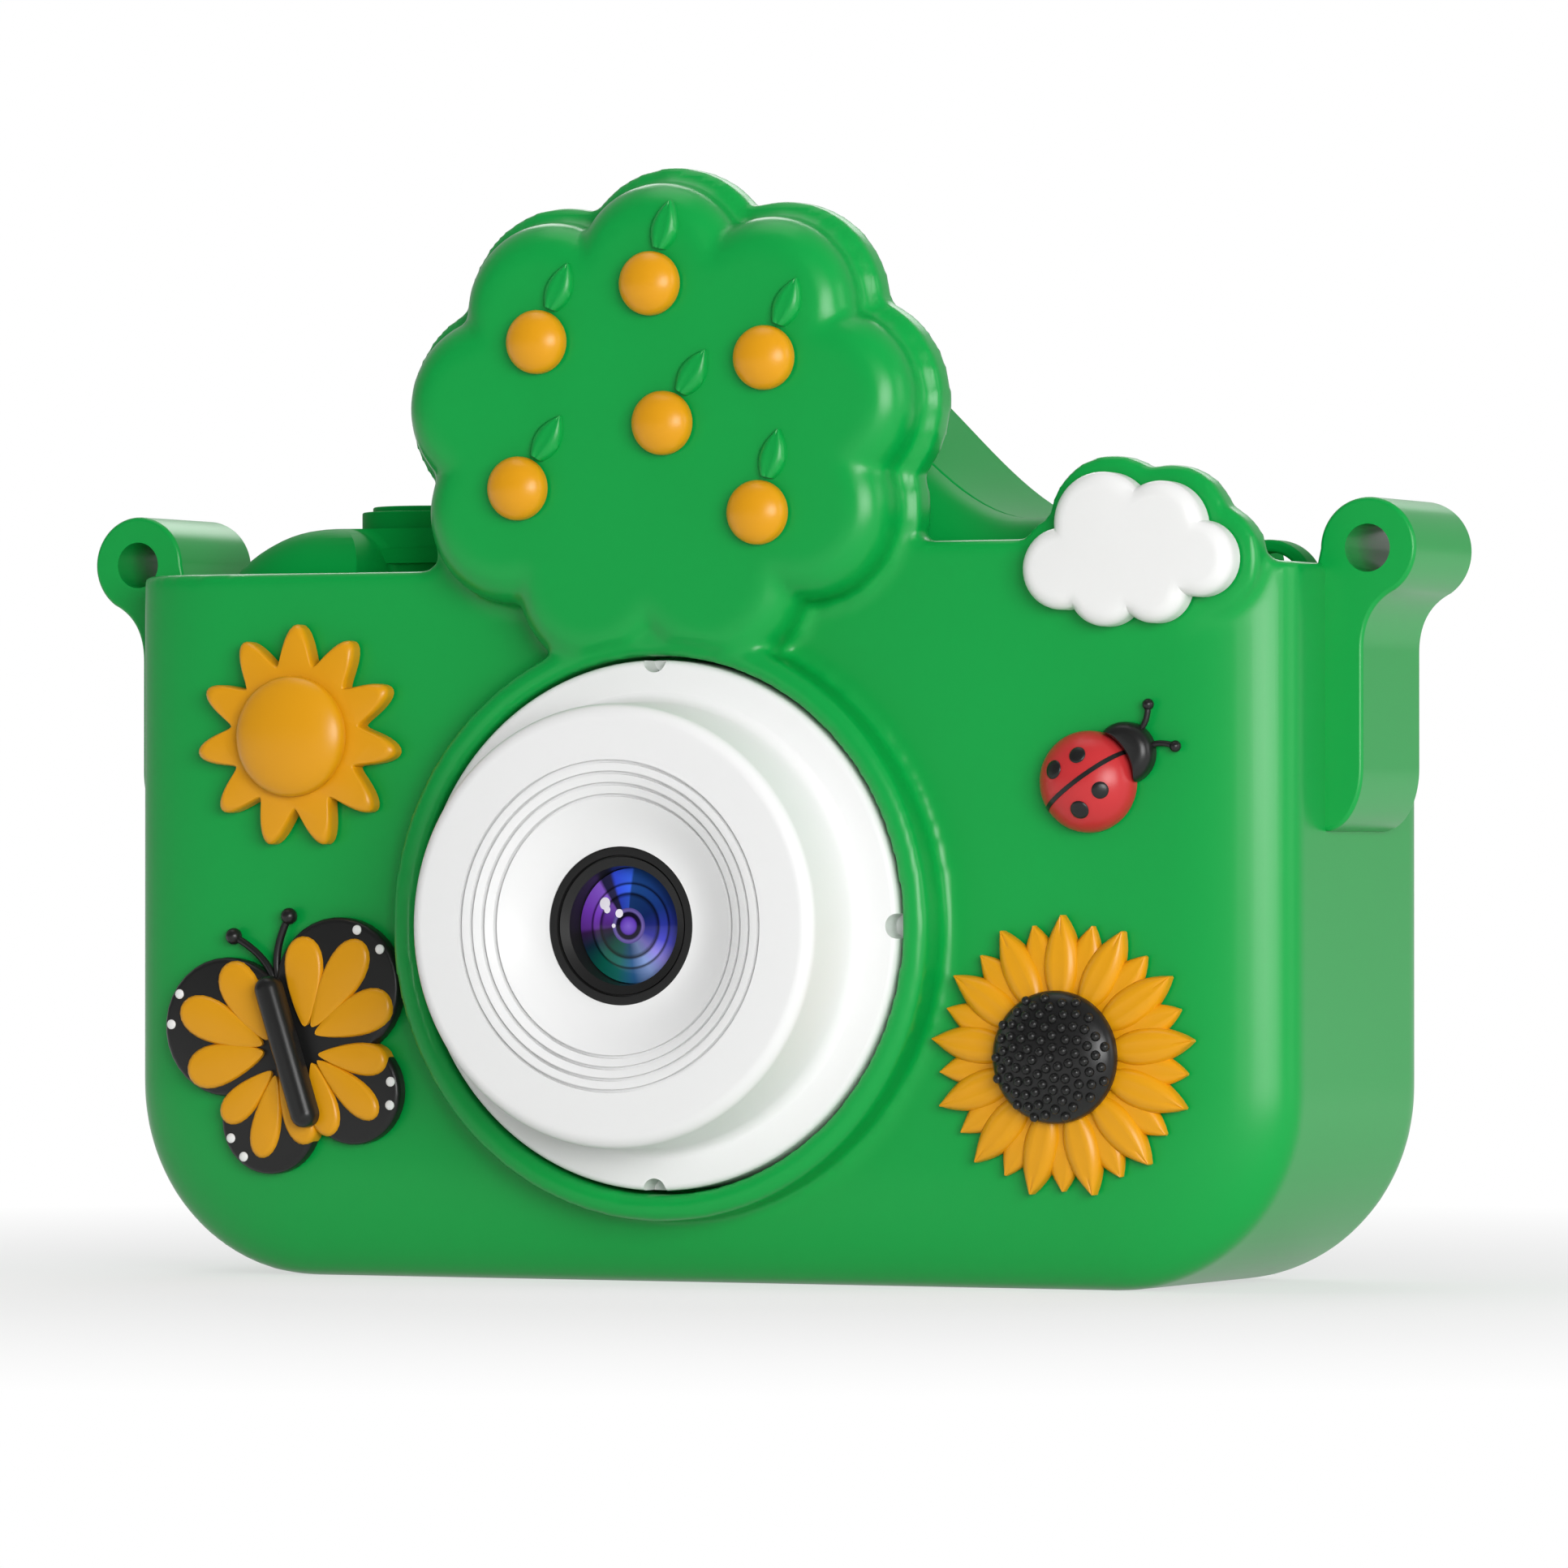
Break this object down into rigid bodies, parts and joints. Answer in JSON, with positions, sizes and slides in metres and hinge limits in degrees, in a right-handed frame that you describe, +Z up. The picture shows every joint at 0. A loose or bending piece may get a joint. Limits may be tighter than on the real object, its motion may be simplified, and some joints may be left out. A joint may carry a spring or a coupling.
{
  "type": "kids digital camera",
  "caption": "Toy digital camera with a round white lens, in a green silicone sleeve with a tree-shaped crest, garden inlays and lanyard ears; screen, buttons, USB and card ports.",
  "frame": {"origin": "middle of the flat base: mid-width, mid-depth of the sleeve, on the ground", "axes": "+X to the viewer's right when looking at the lens, +Y to the rear (the screen side), +Z up"},
  "size_m": [0.1056, 0.0396, 0.0803],
  "materials": {
    "green_silicone": "satin silicone",
    "green_plastic": "satin",
    "amber_silicone": "satin silicone",
    "white_silicone": "satin silicone",
    "black_silicone": "satin silicone",
    "red_silicone": "satin silicone",
    "white_plastic": "semi-gloss",
    "black_plastic": "satin",
    "coated_glass": "polished, violet coating",
    "window_glass": "polished, dark",
    "board_green": "solder mask",
    "cell_foil": "foil",
    "steel": "plain",
    "cable_amber": "film",
    "lead_red": "sleeved"
  },
  "bodies": {
    "camera": {"battery": "cell_foil", "battery_lead": "lead_red", "butterfly_body": "black_silicone", "butterfly_wings": "amber_silicone", "card_socket": "steel", "cloud": "white_silicone", "display_panel": "black_plastic", "display_window": "window_glass", "dome_sheet": "steel", "front_housing": "green_plastic", "front_lens": "coated_glass", "fruit_1": "amber_silicone", "fruit_2": "amber_silicone", "fruit_3": "amber_silicone", "fruit_4": "amber_silicone", "fruit_5": "amber_silicone", "fruit_6": "amber_silicone", "housing_screw_1": "steel", "housing_screw_2": "steel", "housing_screw_3": "steel", "housing_screw_4": "steel", "key_board": "board_green", "ladybird_head": "black_silicone", "ladybird_shell": "red_silicone", "lens_barrel": "white_plastic", "lens_base_ring": "white_plastic", "lens_bezel": "black_plastic", "lens_holder": "black_plastic", "loudspeaker": "black_plastic", "main_board": "board_green", "microphone": "steel", "power_switch": "steel", "rear_camera": "black_plastic", "rear_housing": "green_plastic", "rear_lens_ring": "black_plastic", "rear_lens_window": "coated_glass", "second_lens": "coated_glass", "sensor_board": "board_green", "sensor_cable": "cable_amber", "shutter_switch": "steel", "silicone_sleeve": "green_silicone", "sun_disc": "amber_silicone", "sun_rays": "amber_silicone", "sunflower_disc": "black_silicone", "sunflower_petals": "amber_silicone", "switch_board": "board_green", "usb_socket": "steel"},
    "shutter_button": {"shutter_button": "green_plastic"},
    "power_button": {"power_button": "green_plastic"},
    "up_button": {"up_button": "white_plastic"},
    "down_button": {"down_button": "white_plastic"},
    "left_button": {"left_button": "white_plastic"},
    "right_button": {"right_button": "white_plastic"},
    "ok_button": {"ok_button": "white_plastic"},
    "mode_button": {"mode_button": "white_plastic"},
    "playback_button": {"playback_button": "white_plastic"},
    "memory_card": {"memory_card": "black_plastic"}
  },
  "joints": [
    {"name": "shutter_button_press", "type": "slide", "parent": "camera", "child": "shutter_button", "axis": [0, 0, -1], "range_m": [0, 0.0006], "stiffness_N_per_m": 800},
    {"name": "power_button_press", "type": "slide", "parent": "camera", "child": "power_button", "axis": [0, 0, -1], "range_m": [0, 0.0006], "stiffness_N_per_m": 800},
    {"name": "up_button_press", "type": "slide", "parent": "camera", "child": "up_button", "axis": [0, -1, 0], "range_m": [0, 0.0005], "stiffness_N_per_m": 600},
    {"name": "down_button_press", "type": "slide", "parent": "camera", "child": "down_button", "axis": [0, -1, 0], "range_m": [0, 0.0005], "stiffness_N_per_m": 600},
    {"name": "left_button_press", "type": "slide", "parent": "camera", "child": "left_button", "axis": [0, -1, 0], "range_m": [0, 0.0005], "stiffness_N_per_m": 600},
    {"name": "right_button_press", "type": "slide", "parent": "camera", "child": "right_button", "axis": [0, -1, 0], "range_m": [0, 0.0005], "stiffness_N_per_m": 600},
    {"name": "ok_button_press", "type": "slide", "parent": "camera", "child": "ok_button", "axis": [0, -1, 0], "range_m": [0, 0.0005], "stiffness_N_per_m": 600},
    {"name": "mode_button_press", "type": "slide", "parent": "camera", "child": "mode_button", "axis": [0, -1, 0], "range_m": [0, 0.0005], "stiffness_N_per_m": 600},
    {"name": "playback_button_press", "type": "slide", "parent": "camera", "child": "playback_button", "axis": [0, -1, 0], "range_m": [0, 0.0005], "stiffness_N_per_m": 600},
    {"name": "memory_card_slide", "type": "slide", "parent": "camera", "child": "memory_card", "axis": [-1, 0, 0], "range_m": [0, 0.012]}
  ]
}
